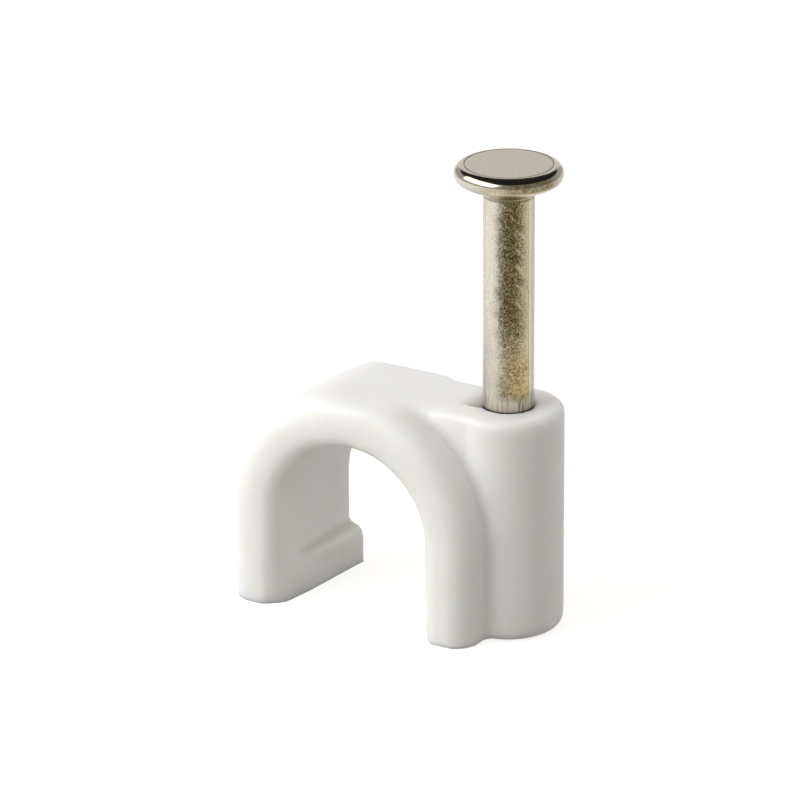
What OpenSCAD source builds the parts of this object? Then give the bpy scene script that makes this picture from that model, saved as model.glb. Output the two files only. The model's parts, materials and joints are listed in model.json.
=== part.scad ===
// Nail-in cable clip: a moulded saddle with a nail boss on one side, and the steel nail that fixes it to a wall.
// The cable runs along Y and the wall is the plane z = 0. The origin is the middle of the footprint on the wall.

/* [Saddle] */
// Diameter of the cable that the saddle holds
cable_d = 7; // [5.5:0.5:10]
// Thickness of the saddle's wall
wall = 2.3; // [2.1:0.1:3]
// Height of the straight legs, from the wall to the start of the arch
leg_h = 4.1; // [3.2:0.1:6]
// Length of the saddle along the cable
depth = 6.1; // [5.5:0.1:9]
// How far the saddle's flat top is bevelled down behind the web
crown_fall = 0.5; // [0.4:0.05:0.8]
// Round on the front outer edge
outer_front_r = 1.1; // [0.4:0.05:1.2]
// Round on the rear outer edge
outer_rear_r = 1.3; // [0.4:0.05:1.4]
// Round on the front inner edge
inner_front_r = 0.8; // [0.2:0.05:0.9]
// Round on the rear inner edge
inner_rear_r = 0.3; // [0.1:0.05:0.6]

/* [Retaining lip] */
// How far the lip stands out from the free leg towards the cable
lip_reach = 0.6; // [0.3:0.05:0.9]
// Height of the lip above the wall
lip_h = 1.75; // [1.2:0.05:2.5]
// How far the lip stands out where it starts, at the front
lip_start = 0.25; // [0.1:0.05:0.3]
// Plain length of leg in front of the lip
lip_setback = 0.5; // [0.4:0.1:1.5]
// Length over which the lip's top comes out of the leg
lip_ramp = 2.6; // [1:0.1:3]

/* [Nail boss] */
// Diameter of the boss round the nail
boss_d = 4.6; // [4:0.1:5]
// How far the flat top of the boss, the web and the saddle lies below the arch's full height
boss_drop = 0.3; // [0.1:0.05:1]
// How far the nail's axis lies inside the saddle's outer face
nail_inset = 0.3; // [0:0.1:0.7]
// Width of the web that joins the saddle to the boss
web_w = 3.65; // [2.5:0.05:4]
// Step from the boss's front face back to the web's
web_setback = 0.1; // [0.1:0.05:0.4]
// Round on the top rim of the boss and the web
rim_r = 0.3; // [0.1:0.05:0.4]
// Round on the boss's foot
foot_r = 0.4; // [0.1:0.05:0.6]
// Length of the lead-in pocket beside the nail, from the nail's axis
pocket_l = 1.6; // [1.3:0.1:1.8]
// Width of the lead-in pocket
pocket_w = 1.8; // [1.2:0.1:2]
// Depth of the lead-in pocket at the nail's axis
pocket_d = 1.3; // [0.5:0.1:2]

/* [Nail] */
// Diameter of the nail's shank
nail_d = 2.1; // [1.6:0.1:2.2]
// Length of the nail from the top of its head to its point
nail_l = 19; // [16:0.5:20]
// Height of the head's top above the boss, before the nail is driven
nail_stand = 10.3; // [9.5:0.05:12]
// Diameter of the head
head_d = 4.45; // [4:0.05:5]
// Round on the head's rim, seen in section
head_rim_r = 0.4; // [0.3:0.01:0.5]
// Slope of the cone under the head
head_slope = 25; // [20:1:45]
// Length of the nail's point
point_l = 2.4; // [1.5:0.1:4]
// Clearance on the diameter between the nail and its bore
nail_fit = 0.04; // [0.02:0.01:0.1]

/* [Hidden] */
$fn = 96;
inner_r = cable_d / 2;
outer_r = inner_r + wall;
mid_r = inner_r + wall / 2;
boss_r = boss_d / 2;
boss_h = leg_h + outer_r - boss_drop;
nail_x = outer_r - nail_inset;
nail_y = depth / 2 - boss_r;
nail_top = boss_h + nail_stand;
web_y = nail_y - boss_r + web_setback;
// Middle of the footprint, measured from the cable's centre plane
middle_x = (nail_x + boss_r - outer_r) / 2;
point_tip_r = 0.12;
over = 1;

// Rectangle with some of its corners rounded.
// Each entry of corners is a side in x, a side in y (0 low, 1 high) and a radius.
module rounded_plate(size, corners) {
    difference() {
        square(size);
        for (c = corners)
            translate([c[0] * size.x, c[1] * size.y])
                mirror([c[0], 0])
                    mirror([0, c[1]])
                        difference() {
                            translate([-over, -over]) square(c[2] + over);
                            translate([c[2], c[2]]) circle(c[2]);
                        }
    }
}

// Section of the saddle's strip: distance from the cable's axis along x, the cable's direction along y
module strip_section() {
    translate([inner_r, -depth / 2])
        rounded_plate([wall, depth], [
            [0, 0, inner_front_r],
            [1, 0, outer_front_r],
            [0, 1, inner_rear_r],
            [1, 1, outer_rear_r]
        ]);
}

// Arch swept over the cable, with a straight leg below each end.
// Its crown is cut flat at the boss's height and bevelled behind the web.
module saddle() {
    difference() {
        translate([0, 0, leg_h])
            rotate([-90, 0, 0])
                rotate_extrude(angle = 180, start = 180) strip_section();
        translate([0, 0, boss_h])
            rotate([90, 0, 90])
                linear_extrude(2 * outer_r, center = true)
                    polygon([
                        [-depth / 2 - over, 0],
                        [web_y + web_w, 0],
                        [depth / 2, -crown_fall],
                        [depth / 2 + over, -crown_fall],
                        [depth / 2 + over, boss_drop + over],
                        [-depth / 2 - over, boss_drop + over]
                    ]);
    }
    for (side = [0, 1])
        mirror([side, 0, 0]) linear_extrude(leg_h) strip_section();
}

// Lip along the foot of the free leg that keeps the cable in, fading into the leg towards the front
module lip() {
    flank_h = lip_h - lip_reach;
    start_y = lip_setback - depth / 2;
    lean = atan(lip_start / lip_h);
    swing = atan(lip_reach / lip_ramp);
    difference() {
        intersection() {
            rotate([90, 0, 0])
                linear_extrude(depth, center = true) {
                    translate([-mid_r, 0]) square([wall / 2 + lip_reach, flank_h]);
                    translate([-mid_r, 0]) square([wall / 2, lip_h]);
                    translate([-inner_r, flank_h]) circle(lip_reach);
                }
            linear_extrude(lip_h + over)
                polygon([
                    [-mid_r, start_y],
                    [-inner_r + lip_start, start_y],
                    [-inner_r + lip_reach, depth / 2],
                    [-mid_r, depth / 2]
                ]);
        }
        // Slanting face that starts at the lip's front and leaves its top free further back
        translate([-inner_r + lip_start, start_y, 0])
            rotate([0, 0, -swing])
                rotate([0, -lean, 0])
                    translate([0, -depth, -lip_h])
                        cube([wall, 2 * depth, 3 * lip_h]);
    }
}

// Round boss that guides the nail, flush with the saddle's rear face
module boss() {
    translate([nail_x, nail_y, 0])
        rotate_extrude()
            rounded_plate([boss_r, boss_h], [[1, 0, foot_r], [1, 1, rim_r]]);
}

// Flat-topped web that runs from inside the saddle's wall to the boss
module web() {
    translate([0, web_y, 0])
        rotate([90, 0, 90])
            linear_extrude(nail_x)
                rounded_plate([web_w, boss_h], [[0, 1, rim_r], [1, 1, rim_r]]);
}

// Everything under the middle of the saddle's wall, which the boss and the web stay out of
module saddle_core() {
    translate([0, 0, leg_h])
        rotate([90, 0, 0]) cylinder(r = mid_r, h = depth + 2 * over, center = true);
    translate([-mid_r, -depth / 2 - over, -over])
        cube([2 * mid_r, depth + 2 * over, leg_h + over]);
}

// Bore for the nail, with a sloped pocket beside its mouth that leads the point in
module nail_hole() {
    translate([nail_x, nail_y, -over])
        cylinder(d = nail_d + nail_fit, h = boss_h + 2 * over);
    translate([nail_x, nail_y + pocket_w / 2, boss_h])
        rotate([90, 0, 0])
            linear_extrude(pocket_w)
                polygon([
                    [-pocket_l, over],
                    [-pocket_l, 0],
                    [0, -pocket_d],
                    [0, over]
                ]);
}

// The moulding, made in one piece
module clip() {
    color("whitesmoke")
        translate([-middle_x, 0, 0])
            difference() {
                union() {
                    saddle();
                    lip();
                    difference() {
                        union() {
                            boss();
                            web();
                        }
                        saddle_core();
                    }
                }
                nail_hole();
            }
}

// Round wire nail: flat head with a round rim, a cone under the head, a plain shank and a point
module nail() {
    shank_r = nail_d / 2;
    rim_x = head_d / 2 - head_rim_r;
    // Where the head's top and the cone under it would meet if the rim were sharp
    sharp_x = rim_x + head_rim_r / tan(head_slope / 2);
    neck_z = -(sharp_x - shank_r) * tan(head_slope);
    color("darkkhaki")
        translate([nail_x - middle_x, nail_y, nail_top])
            rotate_extrude()
                difference() {
                    polygon([
                        [0, 0],
                        [sharp_x, 0],
                        [shank_r, neck_z],
                        [shank_r, point_l - nail_l],
                        [point_tip_r, -nail_l],
                        [0, -nail_l]
                    ]);
                    translate([rim_x, -head_rim_r])
                        difference() {
                            polygon([
                                [0, 0],
                                [0, head_rim_r + over],
                                [sharp_x - rim_x + over, head_rim_r + over],
                                (head_rim_r + over) * [sin(head_slope), -cos(head_slope)]
                            ]);
                            circle(head_rim_r);
                        }
                }
}

clip();
nail();
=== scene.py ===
import bpy
import json
import math
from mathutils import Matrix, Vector

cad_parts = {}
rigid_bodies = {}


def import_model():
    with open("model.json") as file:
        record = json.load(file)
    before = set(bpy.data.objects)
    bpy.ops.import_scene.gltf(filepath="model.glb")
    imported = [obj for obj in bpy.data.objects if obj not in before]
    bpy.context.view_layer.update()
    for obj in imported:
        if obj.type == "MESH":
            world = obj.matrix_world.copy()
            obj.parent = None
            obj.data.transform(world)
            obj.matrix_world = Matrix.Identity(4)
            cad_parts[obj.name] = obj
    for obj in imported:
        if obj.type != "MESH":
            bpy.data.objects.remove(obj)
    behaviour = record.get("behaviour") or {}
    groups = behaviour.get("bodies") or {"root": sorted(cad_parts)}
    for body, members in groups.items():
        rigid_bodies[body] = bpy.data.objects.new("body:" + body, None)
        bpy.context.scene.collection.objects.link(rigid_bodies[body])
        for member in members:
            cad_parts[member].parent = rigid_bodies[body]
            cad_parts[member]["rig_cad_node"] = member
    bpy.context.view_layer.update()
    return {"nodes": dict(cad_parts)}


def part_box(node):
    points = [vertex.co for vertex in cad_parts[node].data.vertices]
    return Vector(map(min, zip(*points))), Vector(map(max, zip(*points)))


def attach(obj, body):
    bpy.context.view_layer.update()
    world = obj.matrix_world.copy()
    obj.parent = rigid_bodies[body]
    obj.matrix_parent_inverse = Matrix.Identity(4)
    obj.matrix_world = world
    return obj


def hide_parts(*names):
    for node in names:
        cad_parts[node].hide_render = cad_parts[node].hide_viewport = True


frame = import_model()
mm = 0.001
print("frame loaded:", sorted(frame["nodes"]))

nailLow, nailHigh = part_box("nail")
clipLow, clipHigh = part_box("clip")
nailX = (nailLow.x + nailHigh.x) / 2
nailY = (nailLow.y + nailHigh.y) / 2


def deselectAll():
    for other in bpy.context.selected_objects:
        other.select_set(False)


def pickOnly(piece):
    deselectAll()
    piece.select_set(True)
    bpy.context.view_layer.objects.active = piece


def applyModifier(piece, kind, **settings):
    modifier = piece.modifiers.new(kind.lower(), kind)
    for key, value in settings.items():
        setattr(modifier, key, value)
    pickOnly(piece)
    bpy.ops.object.modifier_apply(modifier=modifier.name)


# The moulding: the solid's own form with the soft inside corners that a mould leaves

clipShape = {
    "grid": 0.085 * mm,       # size of the remesh's cells
    "edgePasses": 5,          # light smoothing all over
    "bendLimit": 0.10,        # how hollow a corner has to be to get a fillet
    "filletRings": 2,         # rings of cells that the fillet takes in on each side
    "filletBlend": 6,         # steps over which the fillet fades out
    "filletPasses": 18,
    "keepRadius": 1.75 * mm,  # the nail's hole and its pocket stay crisp inside this
    "keepHeight": 2.0 * mm,
    "saddleRadius": 5.8 * mm,
    "crownPasses": 110,       # local smoothing, one value for each share below
    "endPasses": 45,
    "lipPasses": 200,
    "footPasses": 60,
    "pocketPasses": 25,
    "rearPasses": 120,
    "footTrim": 0.255 * mm,   # height of the free leg's foot that is drawn again
}
middleX = clipLow.x + clipShape["saddleRadius"]    # the cable's centre plane


def ramp(value, low, high):
    return min(max((value - low) / (high - low), 0.0), 1.0)


# The shares say how much a place is softened, from 0 to 1, with x in mm from the cable's centre plane

# the flat on top, up to its rear edge
def crownShare(x, y, z):
    across = ramp(x, -3.8, -2.8) * (1 - ramp(x, 2.6, 4.0))
    return across * (1 - ramp(y, 0.8, 1.7)) * ramp(z, 8.0, 8.6)


# left end of that flat over the whole length of the saddle, and its rear corner by the web
def endShare(x, y, z):
    left = ramp(x, -3.6, -2.6) * (1 - ramp(x, -0.9, -0.2))
    rear = ramp(x, 1.6, 2.4) * (1 - ramp(x, 3.9, 4.6)) * ramp(y, 1.3, 1.9) * 0.6
    return max(left, rear) * ramp(z, 8.0, 8.7)


# everything but the mouth of the nail's hole
def edgeShare(x, y, z):
    aside = math.hypot(x - (nailX - middleX) / mm, y - nailY / mm)
    return 1 - 0.85 * (1 - ramp(aside, 1.2, 1.6)) * ramp(z, 8.6, 9.0)


# front end of the lip, which fades into the leg
def lipShare(x, y, z):
    along = ramp(y, -3.3, -2.8) * (1 - ramp(y, -1.6, -0.6))
    return along * ramp(x, -4.2, -3.7) * (1 - ramp(x, -2.6, -2.2)) * (1 - ramp(z, 1.9, 2.4))


# lower edge of the lip, straightened along its length
def footShare(x, y, z):
    along = ramp(y, -3.2, -2.8) * (1 - ramp(y, 2.3, 2.9))
    return along * ramp(x, -4.0, -3.6) * (1 - ramp(z, 0.5, 1.0))


# closed end of the pocket beside the nail
def pocketShare(x, y, z):
    across = ramp(x, 3.5, 3.8) * (1 - ramp(x, 4.4, 4.7))
    return across * (1 - ramp(abs(y - nailY / mm), 0.7, 1.2)) * ramp(z, 8.2, 8.5)


# rear edge of the flat top, from the saddle across to the boss
def rearShare(x, y, z):
    across = ramp(x, 0.8, 1.8) * (1 - ramp(x, 4.0, 4.8))
    return across * ramp(y, 1.2, 1.8) * ramp(z, 8.0, 8.6)


def soften(piece, share, passes, **axes):
    group = piece.vertex_groups.new(name="soft")
    for vertex in piece.data.vertices:
        x, y, z = vertex.co
        weight = share((x - middleX) / mm, y / mm, z / mm)
        if weight > 0:
            group.add([vertex.index], weight, "REPLACE")
    applyModifier(piece, "SMOOTH", factor=0.5, iterations=passes, vertex_group=group.name, **axes)
    piece.vertex_groups.clear()


# the free leg is cut level a little above the wall and drawn down again, so that its edge is straight
def trimFoot(piece, height):
    pickOnly(piece)
    bpy.ops.object.mode_set(mode="EDIT")
    bpy.ops.mesh.select_all(action="DESELECT")
    bpy.ops.object.mode_set(mode="OBJECT")
    for face in piece.data.polygons:
        face.select = face.center.x < middleX and face.center.z < 4 * height
    bpy.ops.object.mode_set(mode="EDIT")
    bpy.ops.mesh.select_mode(type="FACE")
    bpy.ops.mesh.bisect(plane_co=(0, 0, height), plane_no=(0, 0, 1), clear_inner=True,
                        threshold=0.0001 * mm)
    bpy.ops.mesh.select_mode(type="EDGE")
    bpy.ops.mesh.select_all(action="DESELECT")
    bpy.ops.mesh.select_non_manifold()    # the open rim
    bpy.ops.mesh.extrude_edges_move(TRANSFORM_OT_translate={"value": (0, 0, -height)})
    bpy.ops.mesh.mark_sharp()
    bpy.ops.mesh.edge_face_add()
    bpy.ops.mesh.select_all(action="SELECT")
    bpy.ops.mesh.normals_make_consistent(inside=False)
    bpy.ops.mesh.select_mode(type="VERT")
    bpy.ops.object.mode_set(mode="OBJECT")


def modelClip(shape):
    source = frame["nodes"]["clip"]
    piece = source.copy()
    piece.data = source.data.copy()
    piece.name = "clipMoulding"
    del piece["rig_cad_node"]
    bpy.context.scene.collection.objects.link(piece)
    pickOnly(piece)
    bpy.ops.object.mode_set(mode="EDIT")
    bpy.ops.mesh.select_all(action="SELECT")
    bpy.ops.mesh.remove_doubles(threshold=0.001 * mm)
    bpy.ops.object.mode_set(mode="OBJECT")
    applyModifier(piece, "REMESH", mode="VOXEL", voxel_size=shape["grid"])
    soften(piece, edgeShare, shape["edgePasses"])

    # hollow corners: points whose neighbours stand above them
    mesh = piece.data
    bend = [0.0] * len(mesh.vertices)
    for edge in mesh.edges:
        a, b = (mesh.vertices[i] for i in edge.vertices)
        step = (b.co - a.co).normalized()
        bend[a.index] += a.normal.dot(step)
        bend[b.index] -= b.normal.dot(step)
    for vertex in mesh.vertices:
        aside = math.hypot(vertex.co.x - nailX, vertex.co.y - nailY)
        keep = aside < shape["keepRadius"] and vertex.co.z > clipHigh.z - shape["keepHeight"]
        vertex.select = bend[vertex.index] > shape["bendLimit"] and not keep
    print("hollow corners:", sum(v.select for v in mesh.vertices), "of", len(mesh.vertices))
    pickOnly(piece)
    bpy.ops.object.mode_set(mode="EDIT")
    bpy.ops.mesh.select_mode(type="VERT")
    for ring in range(shape["filletRings"]):
        bpy.ops.mesh.select_more()
    fillet = piece.vertex_groups.new(name="fillet")
    bpy.ops.object.vertex_group_assign()
    bpy.ops.mesh.select_all(action="SELECT")
    bpy.ops.object.vertex_group_smooth(group_select_mode="ACTIVE", factor=0.5, repeat=shape["filletBlend"])
    bpy.ops.object.mode_set(mode="OBJECT")
    applyModifier(piece, "SMOOTH", factor=0.5, iterations=shape["filletPasses"], vertex_group=fillet.name)
    piece.vertex_groups.clear()
    soften(piece, crownShare, shape["crownPasses"])
    soften(piece, endShare, shape["endPasses"])
    soften(piece, lipShare, shape["lipPasses"], use_z=False)
    soften(piece, footShare, shape["footPasses"], use_y=False, use_z=False)
    soften(piece, pocketShare, shape["pocketPasses"])
    soften(piece, rearShare, shape["rearPasses"], use_x=False, use_z=False)
    trimFoot(piece, shape["footTrim"])
    bpy.ops.object.shade_smooth()
    return piece


# The nail: rings drawn up from the point and scaled one after another

nailShape = {
    "sides": 160,
    "pointRadius": 0.12 * mm,
    "pointLength": 2.4 * mm,
    "shankRadius": 1.05 * mm,
    "neckFillet": 0.22 * mm,
    "neckSteps": 6,
    "headRadius": (nailHigh.x - nailLow.x) / 2,
    "rimRadius": 0.40 * mm,
    "coneSlope": 25,
    "rimSteps": 22,
    "grooveWidth": 0.05 * mm,  # fine ring round the flat of the head
    "grooveDepth": 0.02 * mm,
}


def nailRings(shape):
    top = nailHigh.z
    slope = math.radians(shape["coneSlope"])
    rim, shank = shape["rimRadius"], shape["shankRadius"]
    rimX = shape["headRadius"] - rim
    coneX = rimX + rim * math.sin(slope)
    coneZ = top - rim * (1 + math.cos(slope))
    neckZ = coneZ - (coneX - shank) * math.tan(slope)
    rings = [(shape["pointRadius"], nailLow.z), (shank, nailLow.z + shape["pointLength"])]
    # hollow round where the shank opens into the cone
    turn = math.pi / 2 - slope
    reach = shape["neckFillet"] * math.tan(turn / 2)
    for i in range(shape["neckSteps"] + 1):
        angle = turn * i / shape["neckSteps"]
        rings.append((shank + shape["neckFillet"] * (1 - math.cos(angle)),
                      neckZ - reach + shape["neckFillet"] * math.sin(angle)))
    # round rim, from the cone up to the flat
    for i in range(shape["rimSteps"] + 1):
        angle = -(math.pi / 2 - slope) + (math.pi - slope) * i / shape["rimSteps"]
        rings.append((rimX + rim * math.cos(angle), top - rim + rim * math.sin(angle)))
    groove = shape["grooveWidth"]
    rings.append((rimX - groove / 2, top - shape["grooveDepth"]))
    rings.append((rimX - groove, top))
    rings.append((rimX - 2 * groove, top))
    return rings


def modelNail(shape):
    rings = nailRings(shape)
    radius, height = rings[0]
    deselectAll()
    bpy.ops.mesh.primitive_circle_add(vertices=shape["sides"], radius=radius, fill_type="NGON",
                                      location=(nailX, nailY, height))
    piece = bpy.context.active_object
    piece.name = "nailShank"
    bpy.ops.object.transform_apply(location=True, rotation=True, scale=True)
    bpy.ops.object.mode_set(mode="EDIT")
    bpy.ops.mesh.select_all(action="SELECT")
    for nextRadius, nextHeight in rings[1:]:
        bpy.ops.mesh.extrude_region_move(TRANSFORM_OT_translate={"value": (0, 0, nextHeight - height)})
        grow = nextRadius / radius
        bpy.ops.transform.resize(value=(grow, grow, 1), center_override=(nailX, nailY, nextHeight))
        radius, height = nextRadius, nextHeight
    bpy.ops.mesh.select_all(action="SELECT")
    bpy.ops.mesh.normals_make_consistent(inside=False)
    bpy.ops.object.mode_set(mode="OBJECT")
    bpy.ops.object.shade_smooth_by_angle(angle=math.radians(30))
    return piece


# Materials

def newMaterial(name):
    material = bpy.data.materials.new(name)
    material.use_nodes = True
    tree = material.node_tree
    return material, tree, tree.nodes["Principled BSDF"]


def addNode(tree, kind, settings=None, **inputs):
    node = tree.nodes.new("ShaderNode" + kind)
    for key, value in (settings or {}).items():
        setattr(node, key, value)
    for key, value in inputs.items():
        socket = node.inputs[int(key[1:])] if key[0] == "i" and key[1:].isdigit() else node.inputs[key]
        if isinstance(value, bpy.types.NodeSocket):
            tree.links.new(value, socket)
        else:
            socket.default_value = value
    return node


def noiseOf(tree, place, size, detail=3.0, roughness=0.5):
    node = addNode(tree, "TexNoise", Vector=place, Scale=1 / size, Detail=detail, Roughness=roughness)
    return node.outputs["Fac"]


def stepOf(tree, value, low, high, toLow=0.0, toHigh=1.0):
    node = addNode(tree, "MapRange", {"interpolation_type": "SMOOTHSTEP"}, i0=value, i1=low, i2=high,
                   i3=toLow, i4=toHigh)
    return node.outputs[0]


def mathOf(tree, operation, a, b=0.0):
    return addNode(tree, "Math", {"operation": operation}, i0=a, i1=b).outputs[0]


def mixOf(tree, amount, a, b):
    node = addNode(tree, "Mix", {"data_type": "RGBA"}, i0=amount, i6=a, i7=b)
    return node.outputs[2]


def timesOf(tree, *values):
    result = values[0]
    for value in values[1:]:
        result = mathOf(tree, "MULTIPLY", result, value)
    return result


def bandOf(tree, value, low, high, soft):
    rise = stepOf(tree, value, low - soft, low + soft)
    fall = stepOf(tree, value, high - soft, high + soft, 1.0, 0.0)
    return timesOf(tree, rise, fall)


clipFinish = {
    "white": (0.935, 0.931, 0.92, 1),
    "warm": (0.927, 0.918, 0.90, 1),
    "grooveShade": (0.66, 0.625, 0.52, 1),                   # painted shade in the groove along the top of the lip
    "grooveShadeShare": 0.75,
    "grooveShadeHeight": (1.66 * mm, 1.88 * mm, 0.22 * mm),  # from, to and softness
    "grooveShadeAcross": (-3.7 * mm, -2.9 * mm, 0.2 * mm),   # the same, from the cable's centre plane
    "grooveShadeAlong": (-2.0 * mm, -0.4 * mm),
    "cloudSize": 2.2 * mm,
    "grainSize": 0.09 * mm,
    "grainDepth": 0.004 * mm,
    "grainStrength": 0.25,
    "roughLow": 0.36,
    "roughHigh": 0.48,
    "ior": 1.49,
    "specular": 0.3,
    "scatterRadius": (1.0, 0.9, 0.75),
    "scatterScale": 0.55 * mm,
}


def clipPlastic(finish):
    material, tree, shader = newMaterial("clipPlastic")
    place = addNode(tree, "TexCoord").outputs["Object"]
    axes = addNode(tree, "SeparateXYZ", Vector=place)
    cloud = noiseOf(tree, place, finish["cloudSize"], 2.0)
    grain = noiseOf(tree, place, finish["grainSize"], 2.0)
    colour = mixOf(tree, stepOf(tree, cloud, 0.35, 0.7), finish["white"], finish["warm"])
    # painted shade: a darker band in the groove along the top of the lip
    low, high, soft = finish["grooveShadeAcross"]
    grooveShade = timesOf(tree, bandOf(tree, axes.outputs["Z"], *finish["grooveShadeHeight"]),
                   bandOf(tree, axes.outputs["X"], middleX + low, middleX + high, soft),
                   stepOf(tree, axes.outputs["Y"], *finish["grooveShadeAlong"]))
    colour = mixOf(tree, timesOf(tree, grooveShade, finish["grooveShadeShare"]), colour, finish["grooveShade"])
    tree.links.new(colour, shader.inputs["Base Color"])
    rough = stepOf(tree, cloud, 0.3, 0.7, finish["roughLow"], finish["roughHigh"])
    tree.links.new(rough, shader.inputs["Roughness"])
    bump = addNode(tree, "Bump", Height=grain, Strength=finish["grainStrength"], Distance=finish["grainDepth"])
    tree.links.new(bump.outputs[0], shader.inputs["Normal"])
    shader.inputs["IOR"].default_value = finish["ior"]
    shader.inputs["Specular IOR Level"].default_value = finish["specular"]
    shader.inputs["Subsurface Weight"].default_value = 1.0
    shader.inputs["Subsurface Radius"].default_value = finish["scatterRadius"]
    shader.inputs["Subsurface Scale"].default_value = finish["scatterScale"]
    return material


nailFinish = {
    "plate": (0.74, 0.72, 0.64, 1),
    "flat": (0.475, 0.43, 0.335, 1),
    "rim": (0.46, 0.425, 0.335, 1),
    "tan": (0.70, 0.60, 0.37, 1),
    "olive": (0.12, 0.088, 0.019, 1),
    "pitAndShade": (0.018, 0.014, 0.005, 1),
    "gold": (0.54, 0.415, 0.21, 1),
    "brown": (0.17, 0.11, 0.038, 1),
    "stain": (0.45, 0.36, 0.19, 1),
    "cone": (0.72, 0.645, 0.475, 1),
    "scratchAndShine": (0.52, 0.46, 0.35, 1),
    "foot": (0.66, 0.63, 0.53, 1),
    "rimRough": 0.12,
    "flatRough": 0.36,
    "flatMetal": 0.15,               # the flat is dull enough to look matt
    "reliefStrength": 0.35,
    "facing": 1.016,                 # turns the angle round the nail so that zero faces the camera
    "goldSide": (-0.1, 0.8, 0.3),    # bands round the nail: from, to and softness of that angle
    "marksSide": (0.25, 0.85, 0.12),
    "shineSide": (0.93, 0.99, 0.02),
    "darkReflectionSide": (-0.12, 0.95, 0.25),
    "lineSides": ((0.83, 0.88), (1.05, 1.09), (-1.16, -1.12)),
    "goldAt": (8.0, 9.8, 0.6),       # bands along the nail, in mm below the top of the head
    "marksAt": (2.0, 6.0, 0.4),
    "darkReflectionAt": (0.13, 0.60, 0.07),
    "specksAt": (0.45, 1.3, 0.1),
    "neck": 1.2,                     # the rest are in mm too
    "footAt": 9.8,
    "mouth": 10.3,
    "flatRadius": 1.80,
    "grain": 0.05,
    "mottle": 0.12,
    "patch": 0.16,
    "cloud": 0.6,
    "streak": 0.09,
    "scratchStep": 0.39,
    "reliefDepth": 0.012,
}


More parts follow.
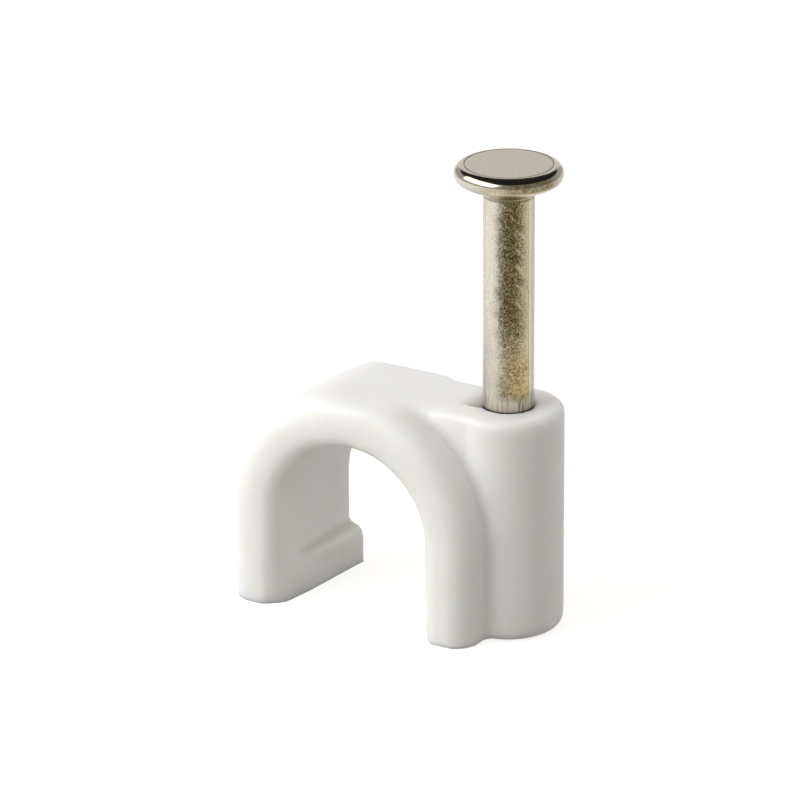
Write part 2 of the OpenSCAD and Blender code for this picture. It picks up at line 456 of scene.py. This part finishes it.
def nailSteel(finish):
    material, tree, shader = newMaterial("nailSteel")
    place = addNode(tree, "TexCoord").outputs["Object"]
    centred = addNode(tree, "Mapping", Vector=place, Scale=(1 / mm, 1 / mm, 1 / mm),
                      Location=(-nailX / mm, -nailY / mm, -nailHigh.z / mm)).outputs[0]
    drawn = addNode(tree, "Mapping", Vector=centred, Scale=(1, 1, 0.08)).outputs[0]   # drawn out along the nail
    axes = addNode(tree, "SeparateXYZ", Vector=centred)
    x, y = axes.outputs["X"], axes.outputs["Y"]
    across = addNode(tree, "CombineXYZ", X=x, Y=y).outputs[0]
    radius = addNode(tree, "VectorMath", {"operation": "LENGTH"}, i0=across).outputs["Value"]
    below = timesOf(tree, axes.outputs["Z"], -1.0)
    turn = mathOf(tree, "ADD", mathOf(tree, "ARCTAN2", y, x), finish["facing"])

    grain = noiseOf(tree, centred, finish["grain"], 2.0, 0.7)
    mottle = noiseOf(tree, centred, finish["mottle"], 4.0, 0.75)
    patch = noiseOf(tree, centred, finish["patch"], 4.0, 0.8)
    cloud = noiseOf(tree, centred, finish["cloud"], 3.0)
    streak = noiseOf(tree, drawn, finish["streak"], 2.0)
    side = mathOf(tree, "ADD", turn, timesOf(tree, mathOf(tree, "SUBTRACT", cloud, 0.5), 0.5))

    # shank: bright to the camera's left, then more and more pitted, dull in the middle and to the right
    # the middle band of the shank, tan and darker olive towards the right
    shankMiddle = timesOf(tree, stepOf(tree, side, -0.8, -0.1), stepOf(tree, turn, 0.74, 0.92, 1.0, 0.12))
    dull = timesOf(tree, shankMiddle, stepOf(tree, side, 0.15, 0.8, 1.0, 0.36), stepOf(tree, below, 5.6, 8.4, 1.0, 0.65))
    colour = mixOf(tree, stepOf(tree, streak, 0.38, 0.62, 0.0, 0.2), finish["plate"], finish["stain"])
    tanned = timesOf(tree, shankMiddle, stepOf(tree, side, -0.5, 0.3, 0.3, 0.9))
    colour = mixOf(tree, tanned, colour, finish["tan"])
    dulled = timesOf(tree, dull, stepOf(tree, mottle, 0.4, 0.66, 1.0, 0.6))
    colour = mixOf(tree, dulled, colour, finish["olive"])
    gold = timesOf(tree, bandOf(tree, below, *finish["goldAt"]), bandOf(tree, side, *finish["goldSide"]))
    goldPatch = mixOf(tree, stepOf(tree, patch, 0.40, 0.57), finish["brown"], finish["gold"])
    colour = mixOf(tree, timesOf(tree, gold, 0.85), colour, goldPatch)
    pitLevel = stepOf(tree, dull, 0.0, 1.0, 0.555, 0.45)
    pits = stepOf(tree, grain, pitLevel, mathOf(tree, "ADD", pitLevel, 0.1))
    pits = timesOf(tree, pits, mathOf(tree, "SUBTRACT", 1.0, timesOf(tree, gold, 0.6)))
    pitted = timesOf(tree, pits, stepOf(tree, dull, 0.0, 1.0, 0.5, 0.85))
    colour = mixOf(tree, pitted, colour, finish["pitAndShade"])

    # slanting marks high on the shank and fine lines down its right side, one of them a painted highlight
    slant = mathOf(tree, "SUBTRACT", below, timesOf(tree, turn, 1.15))
    slant = mathOf(tree, "ADD", slant, timesOf(tree, cloud, 0.35))
    slant = mathOf(tree, "PINGPONG", slant, finish["scratchStep"])
    marks = timesOf(tree, stepOf(tree, slant, 0.03, 0.13, 1.0, 0.0), bandOf(tree, below, *finish["marksAt"]),
                    bandOf(tree, turn, *finish["marksSide"]), stepOf(tree, mottle, 0.36, 0.5))
    colour = mixOf(tree, timesOf(tree, marks, 0.6), colour, finish["scratchAndShine"])
    # painted highlight: a thin light line down the shank's right side
    shine = bandOf(tree, turn, *finish["shineSide"])
    colour = mixOf(tree, timesOf(tree, shine, 0.6), colour, finish["scratchAndShine"])
    colour = mixOf(tree, stepOf(tree, turn, 1.0, 1.15, 0.0, 0.32), colour, finish["olive"])
    for low, high in finish["lineSides"]:
        line = bandOf(tree, turn, low, high, 0.02)
        colour = mixOf(tree, timesOf(tree, line, 0.5), colour, finish["olive"])

    # foot of the shank, painted lighter grey as a reflection of the white boss, and painted shade inside the bore
    edge = mathOf(tree, "ADD", below, timesOf(tree, cloud, 0.4))
    # painted reflection: the foot of the shank turns lighter grey, streaked olive, where it mirrors the white
    # boss
    foot = stepOf(tree, edge, finish["footAt"], finish["footAt"] + 0.35)
    bossReflection = mixOf(tree, stepOf(tree, streak, 0.48, 0.7, 0.0, 0.8), finish["foot"], finish["olive"])
    colour = mixOf(tree, timesOf(tree, foot, 0.85), colour, bossReflection)
    # painted shade: the shank turns near black inside the bore
    inBore = stepOf(tree, below, finish["mouth"] - 0.04, finish["mouth"] + 0.03)
    colour = mixOf(tree, inBore, colour, finish["pitAndShade"])

    # head: stained cone, bright rim with a painted dark reflection across its upper front, and specks below it
    neck, flatRadius = finish["neck"], finish["flatRadius"]
    lift = timesOf(tree, bandOf(tree, turn, -0.45, 0.9, 0.5), 0.42)
    browned = stepOf(tree, mathOf(tree, "ADD", below, lift), 0.70, 0.90)
    browned = timesOf(tree, browned, stepOf(tree, mottle, 0.36, 0.6, 1.0, 0.45))
    head = mixOf(tree, browned, finish["rim"], finish["cone"])
    # painted reflection: a dark arc across the upper front of the rim, where it mirrors the dark overhead
    darkReflection = timesOf(tree, bandOf(tree, below, *finish["darkReflectionAt"]), bandOf(tree, turn, *finish["darkReflectionSide"]),
                  stepOf(tree, mottle, 0.40, 0.6, 0.9, 0.5))
    head = mixOf(tree, darkReflection, head, finish["olive"])
    pale = timesOf(tree, stepOf(tree, turn, -0.75, -0.35, 0.6, 0.0), stepOf(tree, below, 0.25, 0.4))
    head = mixOf(tree, pale, head, finish["plate"])
    specks = timesOf(tree, bandOf(tree, below, *finish["specksAt"]), stepOf(tree, grain, 0.47, 0.6, 0.0, 0.35))
    head = mixOf(tree, specks, head, finish["olive"])
    onHead = stepOf(tree, below, neck - 0.02, neck + 0.06, 1.0, 0.0)
    colour = mixOf(tree, onHead, colour, head)
    neckLine = bandOf(tree, below, neck + 0.04, neck + 0.14, 0.05)
    colour = mixOf(tree, timesOf(tree, neckLine, 0.7), colour, finish["olive"])

    # matt flat with painted shade in the fine groove round it
    onTop = stepOf(tree, below, 0.03, 0.06, 1.0, 0.0)
    onFlat = timesOf(tree, onTop, stepOf(tree, radius, flatRadius - 0.03, flatRadius, 1.0, 0.0))
    flat = mixOf(tree, stepOf(tree, mottle, 0.36, 0.64, 0.0, 0.28), finish["flat"], finish["plate"])
    colour = mixOf(tree, onFlat, colour, flat)
    # painted shade in the fine groove round the flat
    ring = timesOf(tree, onTop, bandOf(tree, radius, flatRadius - 0.03, flatRadius + 0.02, 0.012))
    colour = mixOf(tree, timesOf(tree, ring, 0.65), colour, finish["pitAndShade"])
    tree.links.new(colour, shader.inputs["Base Color"])

    rough = stepOf(tree, mottle, 0.3, 0.7, 0.28, 0.42)
    polished = timesOf(tree, onHead, stepOf(tree, below, 0.5, 0.8, 1.0, 0.35))
    rough = addNode(tree, "Mix", i0=polished, i2=rough, i3=finish["rimRough"]).outputs[0]
    rough = addNode(tree, "Mix", i0=onFlat, i2=rough, i3=finish["flatRough"]).outputs[0]
    tree.links.new(rough, shader.inputs["Roughness"])
    metal = stepOf(tree, onFlat, 0.0, 1.0, 1.0, finish["flatMetal"])
    tree.links.new(metal, shader.inputs["Metallic"])
    sunk = timesOf(tree, pits, stepOf(tree, below, 1.3, 1.6))
    relief = mathOf(tree, "SUBTRACT", timesOf(tree, marks, 0.6), sunk)
    bump = addNode(tree, "Bump", Height=relief, Strength=finish["reliefStrength"],
                   Distance=finish["reliefDepth"] * mm)
    tree.links.new(bump.outputs[0], shader.inputs["Normal"])
    return material


clipPiece = modelClip(clipShape)
clipPiece.data.materials.clear()
clipPiece.data.materials.append(clipPlastic(clipFinish))
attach(clipPiece, "root")
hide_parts("clip")
print("moulding:", len(clipPiece.data.polygons), "faces")

nailPiece = modelNail(nailShape)
nailPiece.data.materials.append(nailSteel(nailFinish))
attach(nailPiece, "root")
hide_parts("nail")
print("nail:", len(nailPiece.data.polygons), "faces")


# Studio

studio = {
    "floorSize": 3.0,
    "floorTone": (0.40, 0.385, 0.36, 1),
    "floorOwnLight": 0.78,              # white of the floor's own, for the camera and for reflections
    "skyTone": (1.0, 0.972, 0.94, 1),
    "ambient": 0.50,
    "ceiling": 0.03,                    # what the nail sees overhead
    "cardHeight": 0.36,
    "rearCard": (-0.21, 0.34, 0.33),    # place in x and y, and width
    "wallPlace": (-0.18, 0.30),         # dim wall round the set, seen only as a reflection
    "wallRadius": 0.80,
    "wallHeight": 0.50,
    "wallGlow": 0.6,
    "lampDistance": 0.36,
    "keyFrom": (-0.63, -0.65, 0.42),
    "keySize": (0.36, 0.30),
    "keyPower": 1.07,
    "topFrom": (0.05, 0.0, 1.0),
    "topSize": (0.30, 0.30),
    "topPower": 0.10,
    "rearFrom": (0.35, 0.92, 0.20),
    "rearSize": (0.50, 0.30),
    "rearPower": 0.28,
    "stripFrom": (-0.52, -0.63, 0.58),  # the white bar that the nail's rim reflects
    "stripSize": (0.58, 0.24),
    "stripPower": 1.23,
}


def buildFloor(look):
    deselectAll()
    bpy.ops.mesh.primitive_plane_add(size=look["floorSize"], location=(0, 0, 0))
    floor = bpy.context.active_object
    floor.name = "studioFloor"
    material, tree, shader = newMaterial("paleFloor")
    tree.nodes.remove(shader)
    diffuse = addNode(tree, "BsdfDiffuse", Color=look["floorTone"])
    path = addNode(tree, "LightPath")
    seen = mathOf(tree, "MAXIMUM", path.outputs["Is Camera Ray"], path.outputs["Is Glossy Ray"])
    glow = addNode(tree, "Emission", Strength=timesOf(tree, seen, look["floorOwnLight"]))
    both = addNode(tree, "AddShader", i0=diffuse.outputs[0], i1=glow.outputs[0])
    tree.links.new(both.outputs[0], tree.nodes["Material Output"].inputs["Surface"])
    floor.data.materials.append(material)


# white that shows only in reflections
def makeGlow(card, strength):
    card.visible_camera = False
    card.visible_diffuse = False
    card.visible_shadow = False
    material, tree, shader = newMaterial(card.name + "White")
    tree.nodes.remove(shader)
    glow = addNode(tree, "Emission", Strength=strength)
    tree.links.new(glow.outputs[0], tree.nodes["Material Output"].inputs["Surface"])
    card.data.materials.append(material)


def addCard(look, name):
    x, y, width = look[name]
    deselectAll()
    bpy.ops.mesh.primitive_plane_add(size=1, location=(x, y, look["cardHeight"] / 2),
                                     rotation=(math.pi / 2, 0, math.atan2(-x, y)))
    card = bpy.context.active_object
    card.name = name
    card.scale = (width, look["cardHeight"], 1)
    makeGlow(card, 1.0)


def addWall(look):
    deselectAll()
    height = look["wallHeight"]
    bpy.ops.mesh.primitive_cylinder_add(vertices=64, radius=look["wallRadius"], depth=height,
                                        end_fill_type="NOTHING", location=(*look["wallPlace"], height / 2))
    wall = bpy.context.active_object
    wall.name = "wallCard"
    makeGlow(wall, look["wallGlow"])


def buildWorld(look):
    world = bpy.data.worlds.new("studioWorld")
    bpy.context.scene.world = world
    world.use_nodes = True
    tree = world.node_tree
    background = tree.nodes["Background"]
    path = addNode(tree, "LightPath")
    seen = mathOf(tree, "MAXIMUM", path.outputs["Is Camera Ray"], path.outputs["Is Transmission Ray"])
    strength = stepOf(tree, path.outputs["Is Glossy Ray"], 0.0, 1.0, look["ambient"], look["ceiling"])
    strength = addNode(tree, "Mix", i0=seen, i2=strength, i3=1.0).outputs[0]
    tree.links.new(strength, background.inputs["Strength"])
    tree.links.new(mixOf(tree, seen, look["skyTone"], (1, 1, 1, 1)), background.inputs["Color"])


def addSoftbox(look, name, aim):
    bpy.ops.object.light_add(type="AREA")
    lamp = bpy.context.active_object
    lamp.name = name + "Softbox"
    side = Vector(look[name + "From"]).normalized()
    lamp.location = aim + side * look["lampDistance"]
    lamp.rotation_euler = (-side).to_track_quat("-Z", "Y").to_euler()
    lamp.data.shape = "RECTANGLE"
    lamp.data.size, lamp.data.size_y = look[name + "Size"]
    lamp.data.energy = look[name + "Power"]
    lamp.visible_diffuse = name != "strip"
    lamp.visible_glossy = name == "strip"


photoView = {
    "aim": (-0.21 * mm, 0.0, 9.06 * mm),
    "azimuth": 31.83,
    "elevation": 21.32,
    "roll": -0.3,
    "distance": 227.6 * mm,
    "focalPixels": 5557,
    "imagePixels": 800,
}


def placeCamera(view):
    turn, rise = math.radians(view["azimuth"]), math.radians(view["elevation"])
    side = Vector((math.sin(turn) * math.cos(rise), -math.cos(turn) * math.cos(rise), math.sin(rise)))
    bpy.ops.object.camera_add(location=Vector(view["aim"]) + side * view["distance"])
    camera = bpy.context.active_object
    facing = (-side).to_track_quat("-Z", "Y").to_matrix().to_4x4()
    facing.translation = camera.location
    camera.matrix_world = facing
    camera.rotation_euler.rotate_axis("Z", math.radians(view["roll"]))
    camera.data.lens = view["focalPixels"] / view["imagePixels"] * camera.data.sensor_width
    camera.data.clip_start = 0.01
    bpy.context.scene.camera = camera


buildFloor(studio)
addCard(studio, "rearCard")
addWall(studio)
buildWorld(studio)
for name in ("key", "top", "rear", "strip"):
    addSoftbox(studio, name, Vector(photoView["aim"]))
placeCamera(photoView)
bpy.context.scene.view_settings.view_transform = "Standard"
print("studio ready")
